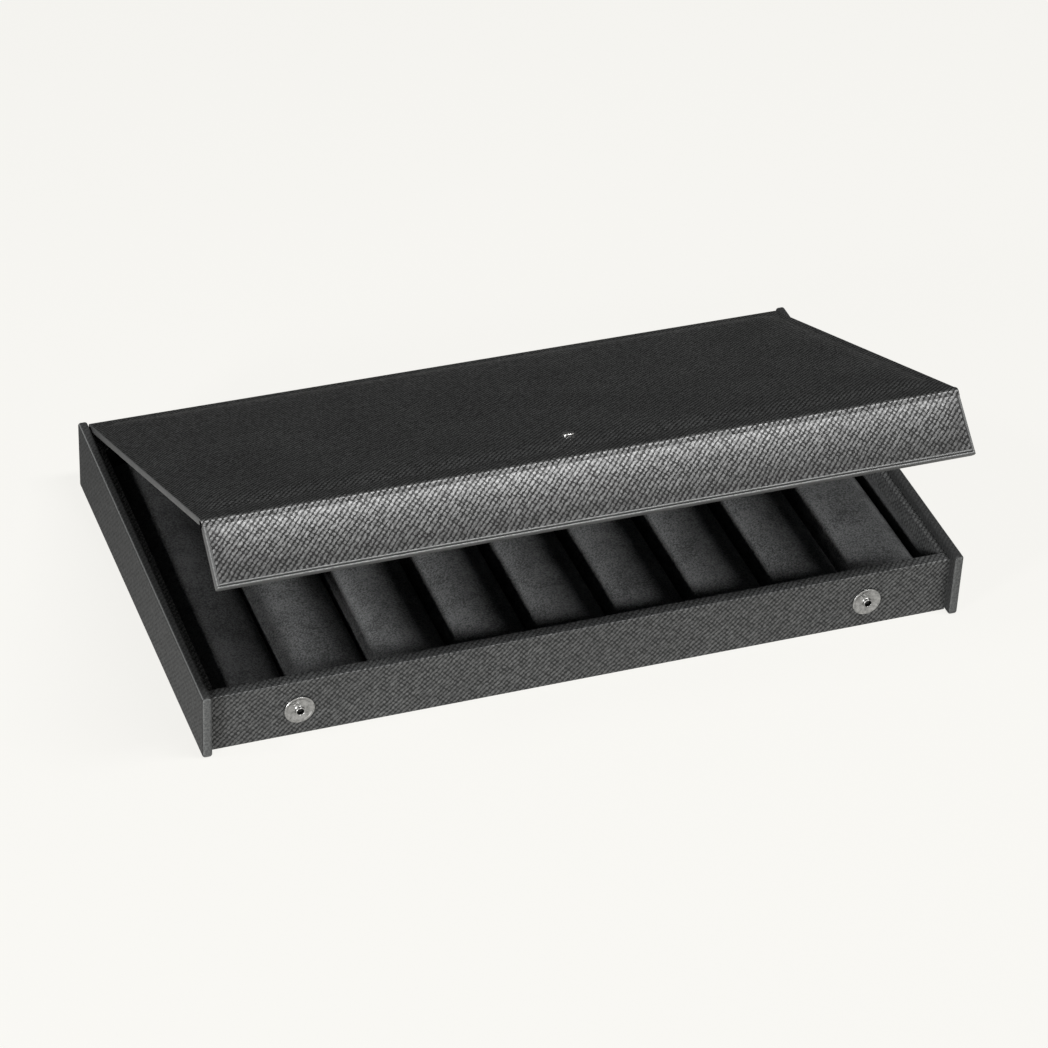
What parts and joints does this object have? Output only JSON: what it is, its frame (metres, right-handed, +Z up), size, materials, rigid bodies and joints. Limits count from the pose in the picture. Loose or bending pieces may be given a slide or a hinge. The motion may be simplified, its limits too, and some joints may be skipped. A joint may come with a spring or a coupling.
{
  "type": "pen collector chest",
  "caption": "Shallow leather-covered pen case with a padded lid hinged at the back, a fold-down front flap with press studs and a ridged, suede-lined tray.",
  "frame": {"origin": "middle of the underside of the case", "axes": "+X along the case to the right, +Y to the back where the lid is hinged, +Z up"},
  "size_m": [0.32, 0.196, 0.1022],
  "materials": {
    "leather": "satin",
    "suede": "matte",
    "foam": "matte",
    "board": "matte",
    "card": "matte",
    "base_cloth": "matte",
    "steel": "satin"
  },
  "bodies": {
    "case": {"back_hinge_leather": "leather", "back_hinge_lining": "suede", "back_lining": "suede", "back_wall_board": "board", "back_wall_capping": "leather", "back_wall_leather": "leather", "base_board": "board", "base_cover": "base_cloth", "front_lining": "suede", "front_wall_board": "board", "front_wall_leather": "leather", "left_end_board": "board", "left_end_leather": "leather", "left_ledge_board": "board", "left_ledge_leather": "leather", "left_lining": "suede", "ridge_foam_1": "foam", "ridge_foam_2": "foam", "ridge_foam_3": "foam", "ridge_foam_4": "foam", "ridge_foam_5": "foam", "ridge_foam_6": "foam", "ridge_foam_7": "foam", "ridge_foam_8": "foam", "ridge_foam_9": "foam", "right_end_board": "board", "right_end_leather": "leather", "right_ledge_board": "board", "right_ledge_leather": "leather", "right_lining": "suede", "snap_studs": "steel", "stud_rivets": "steel", "tray_card": "card", "tray_velour": "suede"},
    "lid": {"front_fold_leather": "leather", "front_fold_lining": "suede", "lid_board": "board", "lid_button": "steel", "lid_foam": "foam", "lid_leather": "leather", "lid_lining": "suede"},
    "flap": {"flap_board": "board", "flap_leather": "leather", "flap_lining": "suede", "snap_sockets": "steel"}
  },
  "joints": [
    {"name": "lid_hinge", "type": "hinge", "parent": "case", "child": "lid", "pos_m": [0, 0.0936, 0.03088], "axis": [-1, 0, 0], "range_deg": [-23.2, 80], "deforming": ["back_hinge_leather", "back_hinge_lining"]},
    {"name": "flap_fold", "type": "hinge", "parent": "lid", "child": "flap", "pos_m": [0, -0.0799, 0.10204], "axis": [-1, 0, 0], "range_deg": [-27.8, 61.3], "deforming": ["front_fold_leather", "front_fold_lining"]}
  ]
}
